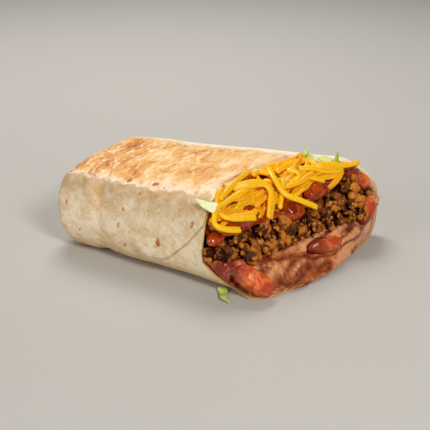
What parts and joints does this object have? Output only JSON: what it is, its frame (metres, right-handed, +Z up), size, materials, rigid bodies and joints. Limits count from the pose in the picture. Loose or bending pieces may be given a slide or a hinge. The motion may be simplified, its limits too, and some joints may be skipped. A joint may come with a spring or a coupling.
{
  "type": "beef burrito",
  "caption": "Griddled flour tortilla folded shut at one end and open at the other, filled with refried beans, ground beef, red sauce, grated cheddar and lettuce; lies flat.",
  "frame": {"origin": "on the table, under the middle of the burrito's bounding box", "axes": "+X along the roll, from the folded end towards the open mouth; +Y across it, away from the side with the sheet's outer edge; +Z up from the table"},
  "size_m": [0.1336, 0.1028, 0.0446],
  "materials": {
    "tortilla": "matte floury dough, toasted golden brown on top",
    "refried_beans": "moist brown-pink paste",
    "whole_beans": "wet wrinkled skin",
    "ground_beef": "knobbly browned meat, slightly greasy",
    "red_sauce": "wet glossy sauce",
    "cheddar": "satin grated cheese",
    "lettuce": "crisp pale green leaf"
  },
  "bodies": {
    "root": {"tortilla": "tortilla", "refried_beans": "refried_beans", "whole_bean_1": "whole_beans", "whole_bean_2": "whole_beans", "whole_bean_3": "whole_beans", "whole_bean_4": "whole_beans", "ground_beef": "ground_beef", "red_sauce": "red_sauce", "cheddar": "cheddar", "lettuce": "lettuce", "lettuce_left_tip": "lettuce", "lettuce_right_tip": "lettuce", "lettuce_foot": "lettuce"}
  },
  "joints": []
}
